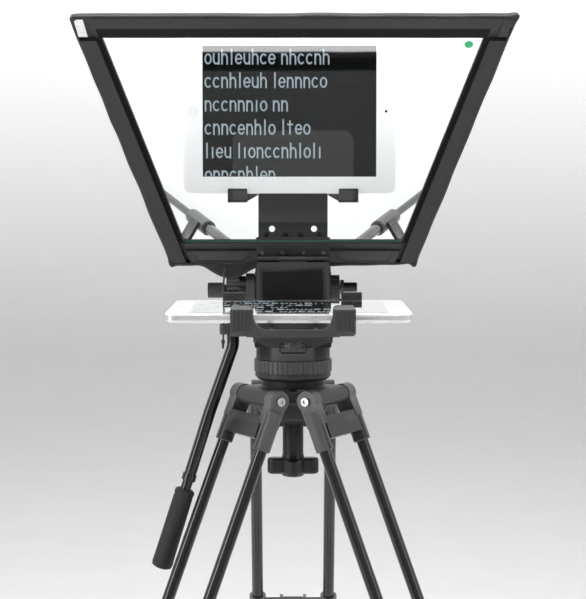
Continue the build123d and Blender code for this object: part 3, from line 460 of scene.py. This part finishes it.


# The lip outline and the recess outline below are thin near-black sheets; their darkness is partly the bars'
# paint and partly painted shade
LIP_SHADE = [(inner(0) + 0.1, 0), (inner(0) + 5.0, 0), (inner(GLASS_TOP) + 5.0, GLASS_TOP),
       (inner(GLASS_TOP) + 0.1, GLASS_TOP)]
CORNER = [(198.8, 299), (208.0, 299), (210.5, 318.5), (208, 320.3), (201.8, 320.3)]
PANEL = [(56.6, -25.4), (105.4, -25.4), (109.2, -12.1), (52.6, -12.1), (49.8, -17.8)]
RECESS_SHADE = [(-inner(294) - 3, 294.2), (inner(294) + 3, 294.2), (inner(306) + 3, 306.8),
          (-inner(306) - 3, 306.8)]
STEP = [(-inner(307) - 3, 307.3), (inner(307) + 3, 307.3), (inner(310) + 3, 310), (-inner(310) - 3, 310)]
CORNER_METAL = {"left": M["bare"], "right": M["frame_brushed"]}      # the paint is worn off on the left only
for s, side in SIDES:
    frame_plate("inner_lip_painted_shade_" + side, LIP_SHADE, 2.0, 0.15, M["bar_black"], s)
    frame_plate("bare_corner_" + side, CORNER, 6.0, 0.5, CORNER_METAL[side], s, 0.0002)
    frame_plate("bar_panel_" + side, PANEL, 5.25, 0.2, M["bar_panel"], s)
# Near-black sheet in the top bar's recess: the recess is real, its darkness is partly painted shade
frame_plate("top_bar_recess_painted_shade", RECESS_SHADE, 2, 0.15, M["bar_black"])
frame_plate("top_bar_step", STEP, 4, 0.1, M["frame_metal"])

# ------------------------------------------------------------ hood
BACK = 65.0                  # the hood's back wall
BACK_LOW, BACK_HIGH = 174, 372
BACK_HALF_LOW, BACK_HALF_HIGH = 118, 150
PORT_HALF, PORT_LOW, PORT_HIGH = 75, 199.2, 314.2
BARS_LOW, BARS_HIGH = -28, 321               # the bar frame's ends, up the slope
HEM_STATION, FRONT_STATION, WALL_END = 2, 5, 29    # rings of points from the hem back to the back wall
WALL_STEPS, PORT_STEPS = 23, 6


def quad_front(n, g):
    """Four corners of the cloth, g outside the bars; its top edge follows the sloped back of the top bar."""
    lo, hi = BARS_LOW - g, min(BARS_HIGH, BARS_HIGH + n) + g
    low_half, high_half = outer(BARS_LOW) + g, outer(BARS_HIGH) + g
    return [F(-low_half, lo, n), F(low_half, lo, n), F(high_half, hi, n), F(-high_half, hi, n)]


def quad_back(y, g):
    """Four corners of the back wall, grown by g."""
    return [P(-BACK_HALF_LOW - g, y, BACK_LOW - g), P(BACK_HALF_LOW + g, y, BACK_LOW - g),
            P(BACK_HALF_HIGH + g, y, BACK_HIGH + g), P(-BACK_HALF_HIGH - g, y, BACK_HIGH + g)]


def loop_points(c, radius, per=36, arc=8):
    """Points round a quad with rounded corners, the same number at every station, and what each lies on."""
    out, tags = [], []
    for i in range(4):
        a, b, d = c[i - 1], c[i], c[(i + 1) % 4]
        r1 = min(radius, (a - b).length * 0.45)
        p, q = b + (a - b).normalized() * r1, b + (d - b).normalized() * r1
        for k in range(arc):
            t = k / arc
            out.append(p * (1 - t) ** 2 + b * 2 * t * (1 - t) + q * t * t)
            tags.append((i, "corner", t))
        e = d + (b - d).normalized() * min(radius, (d - b).length * 0.45)
        for k in range(per):
            out.append(q.lerp(e, k / per))
            tags.append((i, "side", k / per))
    return out, tags


# The rolled hem, as (distance off the glass, distance outside the bars, corner radius in metres)
HEM_ROLL = [(4.2, -0.8, 0.005), (5.2, 0.4, 0.006), (4.0, 1.3, 0.007), (0, 2.0, 0.008), (-7, 2.4, 0.010),
            (-13, 2.6, 0.011)]
stations = [loop_points(quad_front(n, grow), r) for n, grow, r in HEM_ROLL]
a, b = quad_front(-14, 2.6), quad_back(BACK, 0)
for k in range(1, WALL_STEPS):
    t = k / WALL_STEPS
    stations.append(loop_points([p.lerp(q, t) for p, q in zip(a, b)], 0.011 + 0.014 * t))
stations.append(loop_points(quad_back(BACK, -1), 0.024))
port = [P(-PORT_HALF, BACK, PORT_LOW), P(PORT_HALF, BACK, PORT_LOW), P(PORT_HALF, BACK, PORT_HIGH),
        P(-PORT_HALF, BACK, PORT_HIGH)]
a = quad_back(BACK + 0.6, -4)
for k in range(PORT_STEPS + 1):
    t = k / PORT_STEPS
    stations.append(loop_points([p.lerp(q, t) for p, q in zip(a, port)], 0.022 - 0.006 * t))


def hood_point(p, tag, centre, i, station):
    """Point i of a ring, moved off its smooth place by the cloth's gathers, folds and sags."""
    out = (p - centre).normalized()
    corner, kind, k = tag
    hem = exp(-abs(station - HEM_STATION) / 3.0)
    gather = sin(i * 0.9 + 2 * sin(i * 0.13)) * 0.5 + noise.noise(Vector((i * 0.35, station * 0.2, 1.7)))
    d = hem * 0.0008 * (gather + 0.8)
    if FRONT_STATION < station < WALL_END:
        t = (station - FRONT_STATION) / (WALL_END - FRONT_STATION)
        fold = noise.noise(Vector((i * 0.11, station * 0.16, 3.1)))
        fold += 0.6 * noise.noise(Vector((i * 0.27 + station * 0.22, station * 0.05, 9.4)))
        d += sin(pi * t) * (0.0055 * fold - 0.004)
    elif station > WALL_END:
        t = (station - WALL_END - 1) / PORT_STEPS
        d = 0
        ripple = noise.noise(Vector((i * 0.15, station * 0.5, 5.5)))
        p = p + Vector((0, 1, 0)) * (0.003 * sin(pi * t) * ripple)
    q = p + out * d
    if station <= FRONT_STATION:
        if corner == 0 and kind == "side":            # lower edge hangs a little
            q.z -= 0.0045 * hem * (0.6 + 0.4 * noise.noise(Vector((k * 9, 0.3, 0.2))))
        if kind == "corner" and corner in (0, 1):     # lower corners droop
            q.z -= 0.006 * hem * sin(pi * k)
        if kind == "corner" and corner == 2:          # upper right corner stands up
            q += out * 0.005 * hem * sin(pi * k)
    # the floor of the hood sags between its hem and the plate, left of the bracket
    x = q.x * 1000
    if corner == 0 and 1 <= station < 18 and -100 < x < -41:
        t = max(0.0, 1 - abs(station - FRONT_STATION) / 9)
        q.z -= 0.022 * t * sin(pi * (x + 100) / 59) ** 0.8
    return q


bm = bmesh.new()
rows = []
for station, (pts, tags) in enumerate(stations):
    centre = sum(pts, Vector()) / len(pts)
    row = [hood_point(p, tag, centre, i, station) for i, (p, tag) in enumerate(zip(pts, tags))]
    rows.append([bm.verts.new(q) for q in row])
n = len(rows[0])
for r0, r1 in zip(rows, rows[1:]):
    for i in range(n):
        bm.faces.new((r0[i], r0[(i + 1) % n], r1[(i + 1) % n], r1[i]))
hem_line = [v.co.copy() for v in rows[HEM_STATION]]
port_line = [v.co.copy() for v in rows[-1]]
hood = put("hood_cloth", bm, M["hood"], "glass_unit", levels=1, solid=0.0014)
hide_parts("hood")


def piping(name, pts, radius, closed=False):
    """Binding or raised seam along the hood."""
    tube(name, pts, radius, M["binding"], "glass_unit", closed=closed)


def hood_vertex(station, i):
    return hood.data.vertices[station * n + i].co.copy()


piping("hem_binding", hem_line[::2], 1.0, True)
piping("port_binding", port_line[::2], 2.2, True)
CORNER_POINTS = (4, 48, 92, 136)             # middle of each rounded corner, in every ring
for j, i in enumerate(CORNER_POINTS):
    piping(f"hood_seam_{j + 1}", [hood_vertex(r, i) for r in range(4, WALL_END, 2)], 0.9)
piping("hood_seam_back", [hood_vertex(WALL_END - 1, i) for i in range(0, n, 2)], 1.1, True)

# ------------------------------------------------------------ tablet screen with a generic script
TAB_X, TAB_Y, TAB_TOP = -4.0, -265.15, 124.5
SCREEN_X, SCREEN_Y = 98.5, 73.9              # half sizes of the lit screen
CORNERS = ((-1, -1), (1, -1), (1, 1), (-1, 1))
ring = [P(TAB_X + x * SCREEN_X, TAB_Y + y * SCREEN_Y, TAB_TOP) for x, y in CORNERS]
plates("screen", [ring], Vector((0, 0, 0.00012)), M["screen"], "rig")


def curl(start, turn, steps):
    """Arc of a letter-like mark, from a start angle through a turn."""
    arc = [start + turn * i / steps for i in range(steps + 1)]
    return [(0.5 + 0.42 * cos(a), 0.5 + 0.44 * sin(a)) for a in arc]


ARCH = [(0.12, 0.72), (0.35, 0.94), (0.65, 0.94), (0.85, 0.7), (0.86, 0)]
# Strokes as (x, height) in letter widths and x-heights. They are shapes in no order, and spell no word
GLYPHS = {
    "ring": [curl(0, 2 * pi, 14)],
    "open": [curl(0.8, 4.7, 11)],
    "arch": [[(0.12, 0), (0.12, 1)], ARCH],
    "cup": [[(0.86, 0), (0.86, 1)], [(0.12, 1), (0.12, 0.3), (0.33, 0.06), (0.63, 0.06), (0.86, 0.28)]],
    "tall": [[(0.12, 0), (0.12, 1.4)], ARCH],
    "stem": [[(0.3, 0), (0.3, 1.4)]],
    "short": [[(0.3, 0), (0.3, 1)]],
    "cross": [[(0.45, 0.05), (0.45, 1.3)], [(0.1, 0.96), (0.85, 0.96)]],
    "bar": [curl(0, 5.6, 12), [(0.1, 0.5), (0.9, 0.5)]],
}
PATTERN = "ring arch bar stem open cup short arch cross ring tall bar arch stem cup open".split()
WORDS = [(9, 6), (8, 7), (8, 2), (9, 4), (4, 12), (9,)]      # marks in each word of each row
X_HIGH, WIDE, STROKE = 12.0, 7.9, 1.7
ROW_PITCH, FIRST_ROW, GAP, WORD_GAP = 26.4, 21, 1.5, 5.0
SCREEN_END = TAB_Y + 73.6                    # the last row is cut off here


def mark(bm, x, y, name):
    """One letter-like mark on the screen, drawn towards -Y so that it stands upright in the glass."""
    for line in GLYPHS[name]:
        pts = [Vector((x + a * WIDE, y - b * X_HIGH)) for a, b in line]
        for p, q in zip(pts, pts[1:]):
            d = (q - p).normalized() * STROKE / 2
            n = Vector((-d.y, d.x))
            ring = [p - d * 0.5 - n, q + d * 0.5 - n, q + d * 0.5 + n, p - d * 0.5 + n]
            ring = [Vector((v.x, min(v.y, SCREEN_END))) for v in ring]
            if max(v.y for v in ring) - min(v.y for v in ring) > 0.3:
                prism(bm, [P(v.x, v.y, TAB_TOP + 0.13) for v in ring], Vector((0, 0, 0.00008)))


rng = random.Random(7)
bm = bmesh.new()
turn = 0
for row, words in enumerate(WORDS):
    y = TAB_Y - SCREEN_Y + FIRST_ROW + row * ROW_PITCH
    x = TAB_X - 96
    for count in words:
        for letter in range(count):
            name = PATTERN[turn % len(PATTERN)]
            turn += 5 if rng.random() < 0.4 else 3
            step = WIDE * (0.62 if name in ("stem", "short") else 1.0) + GAP
            if x + step < TAB_X + 97:
                mark(bm, x, y, name)
            x += step
        x += WORD_GAP
put("script_marks", bm, M["text"], "rig", smooth=False)

# Camera dot and button ring, on the middle line of the tablet's front
RIM = 109.5                                  # from the tablet's middle to its button and to its camera
ring = [P(TAB_X + RIM + 1.5 * cos(a), TAB_Y + 1.5 * sin(a), TAB_TOP) for a in angles(20)]
plates("camera_dot", [ring], Vector((0, 0, 0.0001)), M["screen"], "rig")
ring = [P(TAB_X - RIM + 3.2 * cos(a), TAB_Y + 3.2 * sin(a), TAB_TOP - 0.2) for a in angles(24)]
tube("button_ring", ring, 0.3, M["tablet_shell"], "home", closed=True)


# ------------------------------------------------------------ the tablet holder's four jaws
def knurl(name, x0, x1, y, h0, h1, cols, rows_n):
    """Pad of small pyramids in a grid, pointing at the reader."""
    bm = bmesh.new()
    dx, dh = (x1 - x0) / cols, (h1 - h0) / rows_n
    for i in range(cols):
        for j in range(rows_n):
            cx, ch = x0 + (i + 0.5) * dx, h0 + (j + 0.5) * dh
            wide, high = dx * 0.45, dh * 0.45
            base = [P(cx - wide, y, ch - high), P(cx + wide, y, ch - high), P(cx + wide, y, ch + high),
                    P(cx - wide, y, ch + high)]
            tip = bm.verts.new(P(cx, y - 0.9, ch))
            vs = [bm.verts.new(p) for p in base]
            for a, b in ((0, 1), (1, 2), (2, 3), (3, 0)):
                bm.faces.new((vs[a], vs[b], tip))
            bm.faces.new(vs)
    return put(name, bm, M["knurl"], "rig", smooth=False)


REAR_JAW, FRONT_JAW, PAD_HALF = 63, 49.5, 10.6
RIB_Y, RIB_HALF, RIB_LOW, RIB_HIGH = -370.8, 1.1, 110, 129
for s, side in SIDES:
    x = s * REAR_JAW
    knurl("rear_grip_" + side, x - PAD_HALF, x + PAD_HALF, -177.4, 125, 132.4, 11, 5)
    ribs = []
    for dx in (-7.2, -3.6, 0, 3.6, 7.2):
        x = s * FRONT_JAW + dx
        ribs.append([P(x - RIB_HALF, RIB_Y, RIB_LOW), P(x + RIB_HALF, RIB_Y, RIB_LOW),
                     P(x + RIB_HALF, RIB_Y, RIB_HIGH), P(x - RIB_HALF, RIB_Y, RIB_HIGH)])
    plates("front_ribs_" + side, ribs, Vector((0, -0.0009, 0)), M["jaw"], "tablet_fork", bevel=0.0004)
    flange = [P(s * x, y, 117) for x, y in ((51.8, -172), (51.8, -163.5), (40, -170), (40, -172))]
    plates("rear_flange_" + side, [flange], Vector((0, 0, 0.009)), M["jaw"], "rig", bevel=0.0006)

# ------------------------------------------------------------ handle grip
GRIP = [(5.6, 95), (9.5, 95.2), (11.6, 97), (12.0, 100), (11.2, 103), (11.6, 106), (11.8, 130), (12.0, 160),
        (12.3, 182), (12.6, 188), (11.8, 192), (8, 194), (1, 194.4)]
HANDLE_RUN, HANDLE_DROP = 58, 185            # the handle's slope: out to the left, and down
grip = lathe("grip_rubber", GRIP, P(-99.0, 0, -22), (-HANDLE_RUN, 0, -HANDLE_DROP), M["rubber"],
             "handle_lower", seg=96, flutes=24, depth=0.35)
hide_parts("handle_grip")

# ------------------------------------------------------------ stage and lights
def stage_material():
    """Pale plain surface; its far walls glow softly, brighter behind the object than in front of it."""
    m = surface("floor_pale", 0.82, 0.86, (0.7, 0.8), 0.0, 6, bump=0.0)
    nt = m.node_tree
    b = nt.nodes["Principled BSDF"]
    tc = add(nt, "ShaderNodeTexCoord")
    xyz = add(nt, "ShaderNodeSeparateXYZ")
    nt.links.new(tc.outputs["Object"], xyz.inputs[0])
    far = add(nt, "ShaderNodeMapRange")
    high = add(nt, "ShaderNodeMapRange")
    for n, (lo, hi), (a, c) in ((far, (-4, 5), (0.16, 0.72)), (high, (0, 2.2), (0, 1))):
        n.inputs[1].default_value, n.inputs[2].default_value = lo, hi
        n.inputs[3].default_value, n.inputs[4].default_value = a, c
    nt.links.new(xyz.outputs["Y"], far.inputs[0])
    nt.links.new(xyz.outputs["Z"], high.inputs[0])
    mul = add(nt, "ShaderNodeMath", operation="MULTIPLY")
    nt.links.new(far.outputs[0], mul.inputs[0])
    nt.links.new(high.outputs[0], mul.inputs[1])
    nt.links.new(mul.outputs[0], b.inputs["Emission Strength"])
    b.inputs["Emission Color"].default_value = (1, 1, 1, 1)
    return m


def stage_mesh():
    """Round floor that curves up into a wall all the way round, so that every view has the same backdrop."""
    flat, curve, top, around = 7.0, 2.5, 8.0, 64
    profile = [(0.05, 0.0), (3, 0.0), (flat, 0.0)]
    for k in range(1, 13):
        a = pi / 2 * k / 12
        profile.append((flat + curve * sin(a), curve - curve * cos(a)))
    profile.append((flat + curve, top))
    bm = bmesh.new()
    rows = [[bm.verts.new((r * cos(a), r * sin(a), z)) for a in angles(around)] for r, z in profile]
    middle = bm.verts.new((0, 0, 0))
    for i in range(around):
        j = (i + 1) % around
        bm.faces.new((middle, rows[0][i], rows[0][j]))
        for r0, r1 in zip(rows, rows[1:]):
            bm.faces.new((r0[i], r1[i], r1[j], r0[j]))
    me = bpy.data.meshes.new("floor")
    bm.to_mesh(me)
    bm.free()
    ob = bpy.data.objects.new("floor", me)
    bpy.context.scene.collection.objects.link(ob)
    for p in me.polygons:
        p.use_smooth = True
    me.materials.append(stage_material())


stage_mesh()


def lamp(name, loc, target, size, power, size_y=None):
    """Soft box at loc, facing target, in metres and watts."""
    d = bpy.data.lights.new(name, "AREA")
    d.shape = "RECTANGLE"
    d.size, d.size_y = size, size_y or size
    d.energy = power
    o = bpy.data.objects.new(name, d)
    o.location = loc
    o.rotation_euler = (Vector(target) - Vector(loc)).to_track_quat("-Z", "Y").to_euler()
    bpy.context.scene.collection.objects.link(o)


lamp("key", (-2.3, -1.5, 1.7), (0, 0, 0.7), 0.5, 40, 2.4)
lamp("fill", (2.4, -1.4, 1.7), (0, 0, 0.8), 0.4, 14, 2.0)
lamp("top", (0, 0.6, 3.2), (0, 0.3, 0.9), 2.2, 40)
lamp("floor_wash", (0, -0.5, 2.3), (0, -0.35, 0), 1.3, 38)
lamp("tablet_light", (0, -1.25, 1.95), (0, -0.27, 0.88), 0.5, 9)
lamp("backdrop", (0, 2.6, 3.6), (0, 4.6, 0), 2.4, 26)
world = bpy.data.worlds.new("studio")
bpy.context.scene.world = world
world.use_nodes = True
background = world.node_tree.nodes["Background"]
background.inputs["Color"].default_value = (1, 1, 1, 1)
background.inputs["Strength"].default_value = 0.06
bpy.context.scene.view_settings.view_transform = "Standard"
